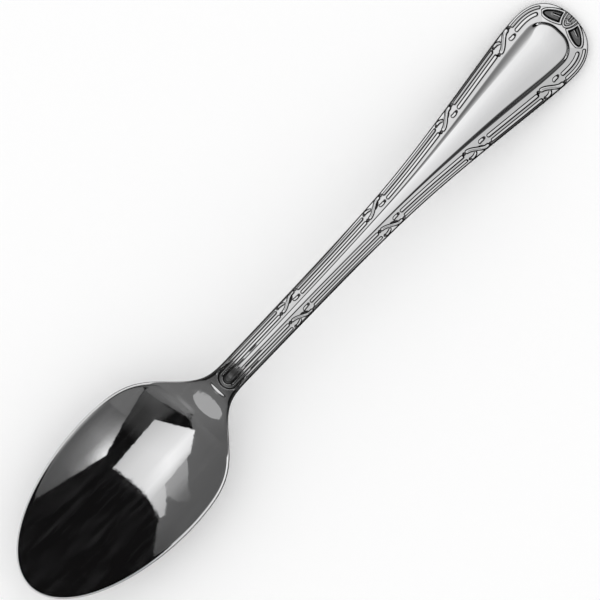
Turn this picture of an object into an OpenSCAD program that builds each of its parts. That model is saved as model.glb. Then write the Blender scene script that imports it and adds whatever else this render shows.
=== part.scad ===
// Teaspoon with a crossed ribbon and reed border, pressed from one blank of stainless steel.
// The bowl's tip points to -X, the handle's end to +X, Y runs across and Z is up.
// The origin is on the table, under the middle of the spoon's length.

/* [Overall] */
// Length from the tip of the bowl to the end of the handle
spoon_len = 140; // [132:1:150]
// Depth of the flats that the spoon rests on, below the round of its underside
rest_cut = 0.16; // [0.1:0.02:0.24]

/* [Bowl] */
// Width across the bowl
bowl_w = 27.4; // [25:0.2:30]
// Length from the tip to the widest place
bowl_front = 27.2; // [25:0.2:30]
// Length from the widest place to where the neck is slim
bowl_back = 24; // [22:0.5:26]
// Depth of the hollow below the rim
bowl_depth = 6.6; // [5.5:0.1:8]
// Thickness of the bottom of the bowl
belly_t = 1.3; // [1.1:0.05:1.8]
// Height of the rim's edge
rim_t = 1.15; // [0.9:0.05:1.5]

/* [Neck and stem] */
// Width of the stem
stem_w = 5.3; // [4.8:0.1:6]
// Thickness of the neck, in its middle
neck_t = 2.8; // [2.4:0.1:3.4]
// Thickness of the stem, in its middle
stem_t = 2.4; // [2:0.1:3]
// Height of the stem's edges
edge_t = 1.5; // [1.2:0.1:1.8]
// Length of the curve where the stem leaves the bowl
neck_soft = 8; // [6:0.5:12]
// Length of the curve over the top of the arch
arch_soft = 14; // [10:1:20]

/* [Handle end] */
// Width of the handle near its end
end_w = 15.8; // [14:0.2:18]
// Thickness of the end, in its middle
end_t = 1.8; // [1.5:0.1:2.2]
// Height of the end's edges
end_edge_t = 1.2; // [1:0.1:1.4]
// Length of the round at the end
tip_len = 7.5; // [6.5:0.1:8.5]
// Length over which the stem begins to widen
flare_soft = 14; // [10:1:20]
// Length of the long curve down to the end
drop_soft = 26; // [20:1:32]

/* [Border] */
// Width of the border from the edge to the centre ridge, along the stem
border_w = 2.4; // [2.2:0.05:2.5]
// Width of the border from the edge to the panel, near the end
border_end_w = 3.5; // [3.2:0.1:4]
// Distance from the edge to the middle of the outer reed
reed_inset = 0.75; // [0.65:0.05:0.9]
// Width of a reed along the stem
reed_w = 0.46; // [0.4:0.02:0.54]
// Width of a reed near the end
reed_end_w = 0.66; // [0.56:0.02:0.76]
// Gap between the two reeds
reed_gap = 0.48; // [0.4:0.02:0.56]
// Height of a reed over the ground
reed_h = 0.22; // [0.14:0.02:0.3]
// Depth of the ground below the smooth neck
ground_d = 0.2; // [0.1:0.02:0.26]
// Width of the bevel along the top edge
bevel_w = 0.3; // [0.2:0.02:0.4]
// Drop of the bevel along the top edge
bevel_h = 0.3; // [0.2:0.02:0.4]

/* [Ribbons] */
// Length of each crossed tie along the border
tie_len = 5; // [4:0.1:6]
// Width of a ribbon along the stem
ribbon_w = 0.7; // [0.6:0.05:0.8]
// Width of a ribbon near the end
ribbon_end_w = 0.95; // [0.85:0.05:1.1]
// Height of the upper ribbon over the ground
ribbon_h = 0.34; // [0.2:0.02:0.42]
// Depth of the pits inside the bow's loops
pit_d = 0.22; // [0.1:0.02:0.3]

/* [Panel] */
// Height of the panel's edge over the border
panel_h = 0.4; // [0.2:0.05:0.6]
// Width of the panel's sloping wall
wall_w = 0.5; // [0.4:0.05:0.7]
// Rise of the panel from its wall to its middle
dome_h = 0.25; // [0.1:0.05:0.4]

/* [Hidden] */

// Places along the spoon
half_len = spoon_len/2;
wide_x = bowl_front - half_len;
throat_x = wide_x + bowl_back*0.54;
bowl_cut_x = wide_x + bowl_back*0.66;
lip_x = wide_x + bowl_back*0.875;
arch_x = wide_x + bowl_back*0.93;
reed_start_x = wide_x + bowl_back*0.99;
fade_start_x = wide_x + bowl_back*0.78;
fade_stop_x = wide_x + bowl_back*1.03;
neck_cut_x = wide_x + bowl_back*1.16;
handle_len = half_len - neck_cut_x;
stem_cut_x = neck_cut_x + handle_len*0.316;
tip_x = half_len - tip_len;
tie_place_shares = [0.155, 0.42, 0.659, 0.861];
tie_places = [for (share = tie_place_shares) neck_cut_x + handle_len*share];

// The distance along the edge, past the middle of the round end, turns with the edge
quarter_turn = 90;
edge_per_degree = tip_len*PI/180;
apex_a = tip_x + edge_per_degree*quarter_turn;
reed_stop_a = apex_a - tip_len*0.92;

// Half widths, and the widening of the handle
bowl_half = bowl_w/2;
stem_half = stem_w/2;
end_half = end_w/2;
flare_x = neck_cut_x + handle_len*0.494;
flare_start = softplus(neck_cut_x - handle_len*0.236 - flare_x, flare_soft);
flare_share = (end_half*1.04 - stem_half)/(softplus(tip_x - flare_x, flare_soft) - flare_start);
end_soft = end_w*0.04;
front_power = 1.9;
tip_power = 2.3;
narrowing_power = 5.27;
slow_narrowing_share = 0.52;
fast_narrowing_share = 4.8;

// Thickness in the middle and at the edge, at shares of the length
middle_t_shares = [0, 0.1, 0.28, 0.36, 0.41, 0.5, 1];
middle_t = [rim_t, belly_t, belly_t, neck_t, neck_t, stem_t, end_t];
edge_t_shares = [0, 0.28, 0.38, 0.6, 1];
edge_ts = [rim_t, rim_t, edge_t, edge_t, end_edge_t];

// Side profile: the rim rises into the neck, arches over and runs down to the end
neck_slope_share = 0.36;
neck_bend_x = wide_x + bowl_back*0.6;
arch_bend_x = neck_cut_x + handle_len*0.105;
drop_bend_x = neck_cut_x + handle_len*0.435;
level_share = 0.8;
level_soft = tip_len;
rest_v_share = 0.8;
rest_x = tip_x + tip_len*rest_v_share;
crown_share = 0.045;
rim_z = bowl_depth + belly_t - rest_cut;
rest_top = thickness(rest_x, rest_v_share) + crown(end_half, rest_v_share) - rest_cut;
rise_left = rim_z + neck_rise(rest_x) - neck_rise(wide_x) - rest_top;
drop_slope_share = rise_left/(drop(rest_x) - drop(wide_x));

// Columns across each half, from the edge to the centre line
bowl_column_shares = [
    0, 0.03, 0.07, 0.12, 0.17, 0.23, 0.29, 0.35, 0.42, 0.49, 0.56, 0.63, 0.7, 0.77, 0.84, 0.92, 1
];
half_columns = len(bowl_column_shares) - 1;
columns = 2*half_columns;

// Rows: the ties and the round end are the closest set
tie_rows = 12;
reed_end_gap = reed_w*0.4;
fan_rows = 28;

function softplus(d, soft) = (d + sqrt(d*d + soft*soft))/2;
function clamped(f) = min(1, max(0, f));
function smooth(f) = let (u = clamped(f)) u*u*(3 - 2*u);
function mix(a, b, f) = a + (b - a)*f;
function bump(d, w) = sqrt(max(0, 1 - 4*d*d/(w*w)));

// A smooth curve through points whose first numbers rise, with no overshoot between them
function span(points, u, i = 0) =
    i >= len(points) - 2 || u < points[i + 1][0] ? i : span(points, u, i + 1);
function slope(points, i) =
    let (j = min(max(i, 0), len(points) - 2))
    (points[j + 1][1] - points[j][1])/(points[j + 1][0] - points[j][0]);
function tangent(points, i) =
    let (before = slope(points, i - 1))
    let (after = slope(points, i))
    before*after <= 0 ? 0 : 2*before*after/(before + after);
function curve_at(points, u) =
    let (i = span(points, u))
    let (step = points[i + 1][0] - points[i][0])
    let (f = clamped((u - points[i][0])/step))
    let (bend = tangent(points, i)*f*(1 - f)*(1 - f) - tangent(points, i + 1)*f*f*(1 - f))
    mix(points[i][1], points[i + 1][1], smooth(f)) + step*bend;
function paired(firsts, seconds) = [for (i = [0:len(firsts) - 1]) [firsts[i], seconds[i]]];

// Outline
function flare(x) = stem_half + flare_share*(softplus(x - flare_x, flare_soft) - flare_start);
function handle_half(x) = end_half - softplus(end_half - flare(x), end_soft);
function waist(x) =
    let (f = max(0, x - wide_x)/bowl_back)
    exp(-slow_narrowing_share*f*f - fast_narrowing_share*pow(f, narrowing_power));
function half_w(x) =
    x <= wide_x
    ? bowl_half*sqrt(max(0, 1 - pow(min(1, (wide_x - x)/bowl_front), front_power)))
    : handle_half(x) + (bowl_half - handle_half(wide_x))*waist(x);

// The edge and the centre at a distance a along the handle, with y given for the left side
function turn(a) = max(0, quarter_turn - max(0, a - tip_x)/edge_per_degree);
function round_share(f) = pow(max(0, f), 2/tip_power);
function edge_point(a) =
    a <= tip_x
    ? [a, half_w(a)]
    : [tip_x + tip_len*round_share(cos(turn(a))), half_w(tip_x)*round_share(sin(turn(a)))];
function centre_point(a) = [min(a, tip_x), 0];
function reach(a) = norm(edge_point(a) - centre_point(a));

// Heights of the plain top and of the underside; v is 0 at the centre and 1 at the edge
function neck_rise(x) =
    neck_slope_share*(softplus(x - neck_bend_x, neck_soft) - softplus(x - arch_bend_x, arch_soft));
function drop(x) = softplus(x - drop_bend_x, drop_soft) - level_share*softplus(x - tip_x, level_soft);
function spine_z(x) =
    rim_z + neck_rise(x) - neck_rise(wide_x) - drop_slope_share*(drop(x) - drop(wide_x));
function crown(half, v) = crown_share*half*v*v;
function handle_part(x) = smooth((x - throat_x)/(lip_x - throat_x));
function hollow_end(x) = smooth((x - fade_start_x)/(fade_stop_x - fade_start_x));
function hollow(x, y) =
    let (q = max(0, half_w(x)*half_w(x) - y*y)/(bowl_half*bowl_half))
    bowl_depth*q*(1 - hollow_end(x));
function along_share(x) = (x + half_len)/spoon_len;
function thickness(x, v) =
    let (middle = curve_at(paired(middle_t_shares, middle_t), along_share(x)))
    let (edge = curve_at(paired(edge_t_shares, edge_ts), along_share(x)))
    mix(middle, edge, v*v);
function plain_z(x, y, v) = spine_z(x) - hollow(x, y) - crown(half_w(min(x, tip_x)), v)*handle_part(x);
function under_z(x, y, v) = max(0, plain_z(x, y, v) - thickness(x, v));

// Relief: d is the distance in from the edge, and f runs from -1 to 1 along a tie
tie_outer_inset = reed_inset*0.6;
tie_inner_past = reed_w*0.8;
tie_end_power = 6;
in_tie_share = 0.501;
under_hidden_share = 0.25;
under_height_share = 0.75;
function end_share(a) = smooth((a - stem_cut_x)/(tip_x - stem_cut_x));
function reed_width(a) = mix(reed_w, reed_end_w, end_share(a));
function inner_inset(a) = reed_inset + reed_width(a) + reed_gap;
function panel_inset(a) = mix(border_w, border_end_w, end_share(a));
function in_tie(a) = min([for (place = tie_places) abs(a - place)]) <= tie_len*in_tie_share;
function reeds(a, d) =
    a < reed_start_x || a > reed_stop_a || in_tie(a)
    ? 0
    : reed_h*max(bump(d - reed_inset, reed_width(a)), bump(d - inner_inset(a), reed_width(a)));
function ribbon_width(a) = mix(ribbon_w, ribbon_end_w, end_share(a));
function ribbon(a, d, path, f) = bump(d - path, ribbon_width(a))*(1 - pow(abs(f), tie_end_power));
function tie(a, d, place) =
    let (f = (a - place)*2/tie_len)
    let (outer = tie_outer_inset)
    let (inner = inner_inset(a) + tie_inner_past)
    let (across = smooth(f/2 + 0.5))
    let (over = ribbon(a, d, mix(inner, outer, across), f))
    let (shown = smooth(abs(f)/under_hidden_share - 1))
    let (under = ribbon(a, d, mix(outer, inner, across), f)*shown)
    abs(f) > 1 ? 0 : ribbon_h*max(over, under*under_height_share);
function ties(a, d) = max([for (place = tie_places) tie(a, d, place)]);

// The bow at the end has a loop on each side of a pointed tongue
loop_reach = tip_len*0.29;
loop_place = apex_a - tip_len*0.56;
loop_inset = border_end_w*0.46;
loop_half = border_end_w*0.29;
tongue_inset = border_end_w*0.72;
tongue_reach = tip_len*0.17;
loop_band = ribbon_end_w*0.7;
pit_wall_share = 0.42;
tongue_band = ribbon_end_w*0.5;
tongue_inner_share = 0.7;
bow_from = loop_place - loop_reach*1.5;
function loop(a, d) =
    let (r = norm([(a - loop_place)/loop_reach, (d - loop_inset)/loop_half]))
    ribbon_h*bump((r - 1)*loop_half, loop_band) - pit_d*smooth((1 - r)/pit_wall_share);
function tongue(a, d) =
    let (f = (apex_a - a)/tongue_reach)
    let (depth = tongue_inset*(1 - f*f) - d)
    depth > 0 ? ribbon_h*(depth < tongue_band ? 1 : tongue_inner_share) : 0;
function bow(a, d) =
    a < bow_from ? 0 : tongue(a, d) > 0 ? tongue(a, d) : loop(a, d);

// The panel is a narrow ridge along the stem and opens into a drop near the end
foot_share = 0.1;
function panel(a, d, v) =
    let (half = reach(a) - panel_inset(a))
    let (in = d - panel_inset(a))
    let (dome = dome_h*(1 - pow(clamped(v*reach(a)/half), 2))*clamped(2*half/end_half))
    in <= 0 ? 0 : (panel_h + dome)*smooth(in/wall_w + foot_share);

// Where the border begins, the ground steps down behind an arch, with a lip before it
arch_bow = (reed_start_x - arch_x)*2;
lip_bow = bevel_w*2.25;
lip_band = bevel_w*2;
ridge_soft = reed_gap*2;
lip_half_share = 2/3;
lip_fade_share = 1/3;
function bowed(middle, bow, y) = middle + bow*pow(y/stem_half, 2);
function ground(x, y) = -ground_d*smooth((x - bowed(arch_x, arch_bow, y))/bevel_w);
function lip(x, y) =
    let (fade = clamped((lip_half_share - abs(y)/stem_half)/lip_fade_share))
    ground_d*bump(x - bowed(lip_x, lip_bow, y), lip_band)*fade;
function stem_on(x) = smooth((x - reed_start_x)/ridge_soft);
function bevel(d) = -bevel_h*(1 - clamped(d/bevel_w));
function relief(a, x, y, d, v) =
    x < bowl_cut_x
    ? 0
    : ground(x, y) + lip(x, y) + max(reeds(a, d), ties(a, d)) + bow(a, d) + panel(a, d, v)*stem_on(x);
function top_z(a, x, y, d, v) = plain_z(x, y, v) + relief(a, x, y, d, v) + bevel(d)*handle_part(x);

// Distances in from the edge of the columns of one half, at a row
reed_column_shares = [-0.5, -0.25, 0.25, 0.5];
wall_max_share = 0.6;
function reed_columns(place, w) = [for (share = reed_column_shares) place + w*share];
function handle_columns(a) =
    let (w = reed_width(a))
    let (foot = panel_inset(a))
    let (band = inner_inset(a) + w*0.5)
    let (top = foot + min(wall_w, (reach(a) - foot)*wall_max_share))
    concat(
        [0, bevel_w],
        reed_columns(reed_inset, w),
        reed_columns(inner_inset(a), w),
        [mix(band, foot, 1/3), mix(band, foot, 2/3), foot, top],
        [mix(top, reach(a), 1/3), mix(top, reach(a), 2/3), reach(a)]
    );
function inset(a, k) = mix(bowl_column_shares[k]*reach(a), handle_columns(a)[k], handle_part(a));
function place_at(a, c) =
    let (k = c <= half_columns ? c : columns - c)
    let (d = reach(a) > 0 ? inset(a, k) : 0)
    let (v = reach(a) > 0 ? 1 - d/reach(a) : 0)
    let (p = mix(centre_point(a), edge_point(a), v))
    [p[0], c <= half_columns ? p[1] : -p[1], d, v];
function top_point(a, c) = let (p = place_at(a, c)) [p[0], p[1], top_z(a, p[0], p[1], p[2], p[3])];
function under_point(a, c) = let (p = place_at(a, c)) [p[0], p[1], under_z(p[0], p[1], p[3])];
function ring(a, step) = concat(
    [for (c = [0:columns]) top_point(a, c)],
    [for (c = [columns:-step:0]) under_point(a, c)]
);

// Vertices that fall together at the bowl's tip, at the end and at the centre of the round end
function first_fan(rows) = len([for (a = rows) if (a < tip_x) a]);
function joined(rows, r, i, n) =
    let (mid_under = (columns + n)/2)
    let (fan = first_fan(rows))
    let (top = i <= columns)
    rows[r] <= -half_len ? r*n + (top ? 0 : columns + 1)
    : rows[r] >= tip_x && i == half_columns ? fan*n + i
    : rows[r] >= tip_x && i == mid_under ? fan*n + i
    : rows[r] < apex_a ? r*n + i
    : top ? r*n + min(i, columns - i)
    : r*n + max(i, n + columns - i);

// Each cell is cut along the diagonal that climbs less
function cell(points, a, b, c, d) =
    abs(points[a][2] - points[c][2]) <= abs(points[b][2] - points[d][2])
    ? [[a, b, c], [a, c, d]]
    : [[a, b, d], [b, c, d]];
function distinct(t) = t[0] != t[1] && t[1] != t[2] && t[0] != t[2];
function skin(points, rows, n) = [
    for (r = [0:len(rows) - 2], i = [0:n - 1])
        let (j = (i + 1)%n)
        let (near = [joined(rows, r, i, n), joined(rows, r, j, n)])
        let (far = [joined(rows, r + 1, i, n), joined(rows, r + 1, j, n)])
        for (t = cell(points, near[0], far[0], far[1], near[1]))
            if (distinct(t)) t
];
function cap(from, n, step) = [
    for (u = [0:step:columns - step])
        let (left = n - 1 - u/step)
        let (tops = [for (c = [u:u + step]) from + c])
        for (t = concat(
            [for (i = [0:step - 1]) [from + left, tops[i], tops[i + 1]]],
            [[from + left, tops[step], from + left - 1]]
        )) t
];
function flipped(faces) = [for (t = faces) [t[0], t[2], t[1]]];

// A length of the spoon from its first row to its last, as one closed solid
module blank(rows, step) {
    points = [for (a = rows) each ring(a, step)];
    n = columns + 2 + columns/step;
    last = (len(rows) - 1)*n;
    opens = rows[0] > -half_len;
    closes = rows[len(rows) - 1] < apex_a;
    polyhedron(
        points = points,
        faces = concat(
            skin(points, rows, n),
            opens ? cap(0, n, step) : [],
            closes ? flipped(cap(last, n, step)) : []
        )
    );
}

function even_rows(from, to, count) = [for (i = [1:count]) mix(from, to, i/count)];
function tie_row_set(place) = concat(
    [place - tie_len/2 - reed_end_gap],
    [for (i = [0:tie_rows]) place + tie_len*(i/tie_rows - 0.5)],
    [place + tie_len/2 + reed_end_gap]
);
function before_tie(i) = tie_places[i] - tie_len/2 - reed_end_gap*2;
function after_tie(i) = tie_places[i] + tie_len/2 + reed_end_gap*2;

// The hollow, from the tip to the throat
module bowl() {
    front = [for (i = [0:12]) wide_x - bowl_front*cos(quarter_turn*i/12)];
    color("silver") blank(concat(front, even_rows(wide_x, bowl_cut_x, 8)), 2);
}

// The thick waist, with the lip and the arch where the border begins
module neck() {
    color("silver")
    blank(
        concat(
            [bowl_cut_x],
            even_rows(bowl_cut_x, lip_x - bevel_w, 4),
            even_rows(lip_x - bevel_w, reed_start_x + reed_end_gap, 9),
            even_rows(reed_start_x + reed_end_gap, neck_cut_x, 2)
        ),
        2
    );
}

// The slim middle of the handle, with the first pair of ties
module stem() {
    color("silver")
    blank(
        concat(
            [neck_cut_x],
            even_rows(neck_cut_x, before_tie(0), 4),
            tie_row_set(tie_places[0]),
            even_rows(after_tie(0) - reed_end_gap, stem_cut_x, 4)
        ),
        4
    );
}

// The widening handle with the panel, three pairs of ties and the bow
module handle_end() {
    last = len(tie_places) - 1;
    color("silver")
    blank(
        concat(
            [stem_cut_x],
            even_rows(stem_cut_x, before_tie(1), 2),
            [
                for (i = [1:last])
                    each concat(
                        tie_row_set(tie_places[i]),
                        i < last ? even_rows(after_tie(i), before_tie(i + 1), 5) : []
                    )
            ],
            even_rows(after_tie(last) - reed_end_gap, tip_x, 2),
            even_rows(tip_x, apex_a, fan_rows)
        ),
        4
    );
}

bowl();
neck();
stem();
handle_end();
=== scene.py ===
import math

import bpy
import numpy as np
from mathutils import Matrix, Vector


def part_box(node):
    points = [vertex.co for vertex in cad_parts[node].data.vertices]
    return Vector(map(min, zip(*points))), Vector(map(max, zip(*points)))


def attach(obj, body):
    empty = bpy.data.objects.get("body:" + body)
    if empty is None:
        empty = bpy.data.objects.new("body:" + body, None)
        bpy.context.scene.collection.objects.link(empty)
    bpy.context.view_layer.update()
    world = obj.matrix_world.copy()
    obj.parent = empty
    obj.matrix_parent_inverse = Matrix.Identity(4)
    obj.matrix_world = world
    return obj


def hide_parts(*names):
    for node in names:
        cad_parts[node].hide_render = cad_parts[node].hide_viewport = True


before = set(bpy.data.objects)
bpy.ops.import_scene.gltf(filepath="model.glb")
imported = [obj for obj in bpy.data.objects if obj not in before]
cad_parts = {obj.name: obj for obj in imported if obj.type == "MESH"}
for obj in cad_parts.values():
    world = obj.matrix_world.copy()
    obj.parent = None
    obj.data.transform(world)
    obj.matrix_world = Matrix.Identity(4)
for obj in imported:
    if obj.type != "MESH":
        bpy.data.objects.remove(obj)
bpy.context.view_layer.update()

# Lengths here are in millimetres, in the CAD frame, and become metres when a mesh is made
MM = 0.001
QUARTER = math.pi/2
NODES = ["bowl", "neck", "stem", "handle_end"]


def corners(node):
    """The lowest and highest corner of a CAD node, in millimetres."""
    return [np.array(corner)/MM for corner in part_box(node)]


boxes = {node: corners(node) for node in NODES}

# Overall sizes and the cuts between the pieces, from the frame
HALF_LEN = boxes["handle_end"][1][0]
BOWL_HALF = boxes["bowl"][1][1]
END_HALF = boxes["handle_end"][1][1]
BOWL_CUT = boxes["bowl"][1][0]
NECK_CUT = boxes["neck"][1][0]
STEM_CUT = boxes["stem"][1][0]

# Sizes of the CAD's sections, which the frame doesn't name
BOWL_FRONT = 27.2
BOWL_BACK = 24
BOWL_DEPTH = 6.6
BELLY_T = 1.3
RIM_T = 1.15
REST_CUT = 0.16
STEM_HALF = 2.65
NECK_T = 2.8
STEM_T = 2.4
EDGE_T = 1.5
END_T = 1.8
END_EDGE_T = 1.2
TIP_LEN = 7.5
NECK_SOFT = 8
ARCH_SOFT = 14
FLARE_SOFT = 14
DROP_SOFT = 26
MIDDLE_T = [
    (0, RIM_T), (0.1, BELLY_T), (0.28, BELLY_T), (0.36, NECK_T), (0.41, NECK_T), (0.5, STEM_T), (1, END_T)
]
SIDE_T = [(0, RIM_T), (0.28, RIM_T), (0.38, EDGE_T), (0.6, EDGE_T), (1, END_EDGE_T)]

# Places along the spoon
wide_x = BOWL_FRONT - HALF_LEN
throat_x = wide_x + BOWL_BACK*0.54
lip_x = wide_x + BOWL_BACK*0.875
arch_x = wide_x + BOWL_BACK*0.93
reed_start_x = wide_x + BOWL_BACK*0.99
fade_start_x = wide_x + BOWL_BACK*0.78
fade_stop_x = wide_x + BOWL_BACK*1.03
handle_len = HALF_LEN - NECK_CUT
tip_x = HALF_LEN - TIP_LEN
tie_places = [NECK_CUT + handle_len*share for share in (0.155, 0.42, 0.659, 0.861)]

# The distance a runs along the edge, and past both round ends it turns with the edge
FRONT_POWER = 1.9
TIP_POWER = 2.3
front_a = wide_x - BOWL_FRONT*QUARTER
apex_a = tip_x + TIP_LEN*QUARTER
reed_stop_a = apex_a - TIP_LEN*0.92
bow_start_a = reed_stop_a + 0.55


def softplus(d, soft):
    """Zero far below zero, d far above it, and a soft bend between."""
    return (d + np.sqrt(d*d + soft*soft))/2


def smooth(f):
    """A soft step from 0 to 1."""
    u = np.clip(f, 0, 1)
    return u*u*(3 - 2*u)


def ramp(distance, width):
    """A straight step from 0 to 1 over the width."""
    return np.clip(distance/width, 0, 1)


def stretch(u, start, rise, stop, fall):
    """1 between start and stop, with soft ends as long as rise and fall."""
    return smooth((u - start)/rise)*(1 - smooth((u - stop)/fall))


def mix(first, second, share):
    return first + (second - first)*share


def curve_at(points, u):
    """A smooth curve through points whose first numbers rise, with no overshoot between them."""
    at, value = (np.array(column, float) for column in zip(*points))
    slope = np.diff(value)/np.diff(at)
    before = np.append(slope[0], slope)
    after = np.append(slope, slope[-1])
    same_way = before*after > 0
    tangent = np.where(same_way, 2*before*after/np.where(same_way, before + after, 1), 0)
    i = np.clip(np.searchsorted(at, u, side="right") - 1, 0, len(at) - 2)
    step = at[i + 1] - at[i]
    f = np.clip((u - at[i])/step, 0, 1)
    bend = tangent[i]*f*(1 - f)**2 - tangent[i + 1]*f*f*(1 - f)
    return mix(value[i], value[i + 1], smooth(f)) + step*bend


# Outline
NARROWING_POWER = 5.27
SLOW_NARROWING = 0.52
FAST_NARROWING = 4.8
flare_x = NECK_CUT + handle_len*0.494
flare_start = softplus(NECK_CUT - handle_len*0.236 - flare_x, FLARE_SOFT)
flare_share = (END_HALF*1.04 - STEM_HALF)/(softplus(tip_x - flare_x, FLARE_SOFT) - flare_start)
end_soft = END_HALF*0.08


def handle_half(x):
    """Half the handle's width."""
    flare = STEM_HALF + flare_share*(softplus(x - flare_x, FLARE_SOFT) - flare_start)
    return END_HALF - softplus(END_HALF - flare, end_soft)


def waist(x):
    """The share of the bowl's extra width that is left behind its widest place."""
    f = np.maximum(0, x - wide_x)/BOWL_BACK
    return np.exp(-SLOW_NARROWING*f*f - FAST_NARROWING*f**NARROWING_POWER)


def half_w(x):
    """Half the spoon's width, without the handle's round end."""
    front = BOWL_HALF*np.sqrt(np.maximum(0, 1 - np.clip((wide_x - x)/BOWL_FRONT, 0, 1)**FRONT_POWER))
    extra = (BOWL_HALF - handle_half(wide_x))*waist(x)
    return np.where(x <= wide_x, front, handle_half(x) + extra)


def edge_points(a):
    """The points of the edge at +Y, and the centre line's points that their rows run to."""
    front_turn = np.clip((a - front_a)/BOWL_FRONT, 0, QUARTER)
    end_turn = np.clip((apex_a - a)/TIP_LEN, 0, QUARTER)
    x = np.clip(a, wide_x, tip_x)
    edge_x = (
        x
        - np.where(a < wide_x, BOWL_FRONT*np.cos(front_turn)**(2/FRONT_POWER), 0)
        + np.where(a > tip_x, TIP_LEN*np.cos(end_turn)**(2/TIP_POWER), 0)
    )
    edge_y = half_w(x)*np.sin(front_turn)*np.where(a > tip_x, np.sin(end_turn)**(2/TIP_POWER), 1)
    return edge_x, edge_y, x


# Heights of the plain top and of the underside. v is the share of the way out to the edge
NECK_SLOPE = 0.36
LEVEL_SHARE = 0.8
CROWN_SHARE = 0.045
REST_V = 0.8
neck_bend_x = wide_x + BOWL_BACK*0.6
arch_bend_x = NECK_CUT + handle_len*0.105
drop_bend_x = NECK_CUT + handle_len*0.435
rest_x = tip_x + TIP_LEN*REST_V
rim_z = BOWL_DEPTH + BELLY_T - REST_CUT


def neck_rise(x):
    return NECK_SLOPE*(softplus(x - neck_bend_x, NECK_SOFT) - softplus(x - arch_bend_x, ARCH_SOFT))


def drop(x):
    return softplus(x - drop_bend_x, DROP_SOFT) - LEVEL_SHARE*softplus(x - tip_x, TIP_LEN)


def thickness(x, v):
    along = (x + HALF_LEN)/(2*HALF_LEN)
    return mix(curve_at(MIDDLE_T, along), curve_at(SIDE_T, along), v*v)


rest_top = thickness(rest_x, REST_V) + CROWN_SHARE*END_HALF*REST_V**2 - REST_CUT
rise_left = rim_z + neck_rise(rest_x) - neck_rise(wide_x) - rest_top
drop_slope = rise_left/(drop(rest_x) - drop(wide_x))


def spine_z(x):
    """Height of the middle of the top, without the bowl's hollow."""
    return rim_z + neck_rise(x) - neck_rise(wide_x) - drop_slope*(drop(x) - drop(wide_x))


def handle_part(x):
    """0 in the bowl and 1 in the handle."""
    return smooth((x - throat_x)/(lip_x - throat_x))


def hollow_end(x):
    """How far the bowl's hollow has faded out, in the throat."""
    return smooth((x - fade_start_x)/(fade_stop_x - fade_start_x))


# The rim has a narrow land between its round outer edge and the hollow
RIM_LAND = 0.5
RIM_SOFT = 0.03
EDGE_R = 0.26
UNDER_R = 0.42
RIM_STEP = 0.01


def rim_level(x, y):
    """How far the place lies inside the outline, from 0 there to 1 at the bowl's middle."""
    return np.maximum(0, half_w(x)**2 - y*y)/BOWL_HALF**2


def hollow(x, y, land):
    """Depth of the bowl's hollow, which starts where the land ends."""
    level = rim_level(x, y)
    if land > 0:
        x_slope = (half_w(x + RIM_STEP)**2 - half_w(x - RIM_STEP)**2)/(2*RIM_STEP)
        steepness = np.sqrt(x_slope**2 + 4*y*y)/BOWL_HALF**2
        level = softplus(level - land*steepness, RIM_SOFT)
    return BOWL_DEPTH*level*(1 - hollow_end(x))


def plain_z(x, y, v, land=0):
    """Height of the top without the border's relief."""
    crown = CROWN_SHARE*half_w(np.minimum(x, tip_x))*v*v*handle_part(x)
    return spine_z(x) - hollow(x, y, land) - crown


# The border and the reeds in it: d is the distance in from the edge
REED_H = 0.14
REED_INSET = 0.68
REED_W = 0.78
REED_END_W = 0.92
REED_STEP = 0.96
REED_END_STEP = 1.13
INNER_REED_SHORTER = 0.9
FLANK = 0.27
SHOULDER_SHARE = 0.25
BORDER_W = 2.23
BORDER_END_W = 2.95
BORDER_TIP_W = 3.45
TIE_LEN = 5
TIE_STOP = TIE_LEN/2 + 0.1


def end_share(a):
    """0 on the neck and the stem, rising to 1 where the handle is widest."""
    return smooth((a - STEM_CUT)/(tip_x - STEM_CUT))


def reed_width(a):
    return mix(REED_W, REED_END_W, end_share(a))


def reed_step(a):
    return mix(REED_STEP, REED_END_STEP, end_share(a))


def panel_inset(a):
    """Width of the border, from the edge to the foot of the panel's wall."""
    side = mix(BORDER_W, BORDER_END_W, end_share(a))
    return mix(side, BORDER_TIP_W, smooth((a - tip_x)/TIP_LEN))


def strand(distance, width, height):
    """A flat-topped strand with round shoulders, from the distance to its middle line."""
    across = np.abs(distance)/(width/2)
    body = smooth((width/2 - np.abs(distance))/FLANK)
    return height*body*(1 - SHOULDER_SHARE*np.minimum(1, across)**2)


def capped(distance, past):
    """The distance to a line that ends: past is how far the place lies beyond the line's end."""
    return np.hypot(distance, np.maximum(0, past))


def reeds(a, d):
    """Heights of the two reeds, which stop at the ties and at both ends."""
    w = reed_width(a)
    to_tie = np.min([np.abs(a - place) for place in tie_places], axis=0)
    past = np.maximum.reduce([TIE_STOP + w/2 - to_tie, a - reed_stop_a, reed_start_x - a])
    outer = capped(d - REED_INSET, past)
    inner = capped(d - REED_INSET - reed_step(a), past + INNER_REED_SHORTER*(a > tip_x))
    return np.maximum(strand(outer, w, REED_H), strand(inner, w, REED_H))


# A tie: one ribbon passes over another, and each crosses from one reed's line to the other's.
# In a tie, f runs from -1 to 1 over its length
OUTER_INSET = 0.42
OUTER_END_INSET = 0.5
INNER_SHIFT = -0.02
INNER_END_SHIFT = 0.3
CROSS_START = -0.72
CROSS_LEN = 1.34
CROSS_STEP = 0.01
OVER_W = 0.78
OVER_END_W = 1.05
OVER_H = 0.15
OVER_SHORTER = 0.3
CREASE_F = -0.05
CREASE_HALF = 0.75
CREASE_END = 0.25
CREASE_SIDE = 0.07
CREASE_W = 0.08
CREASE_D = 0.05
UNDER_W = 0.72
UNDER_END_W = 0.9
UNDER_H = 0.12
UNDER_HALF_LEN = 1.8
UNDER_GAP = 0.55
UNDER_GAP_SHIFT = 0.15
TIE_REACH = 1.3
TIE_LEAST_H = 0.02

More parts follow.
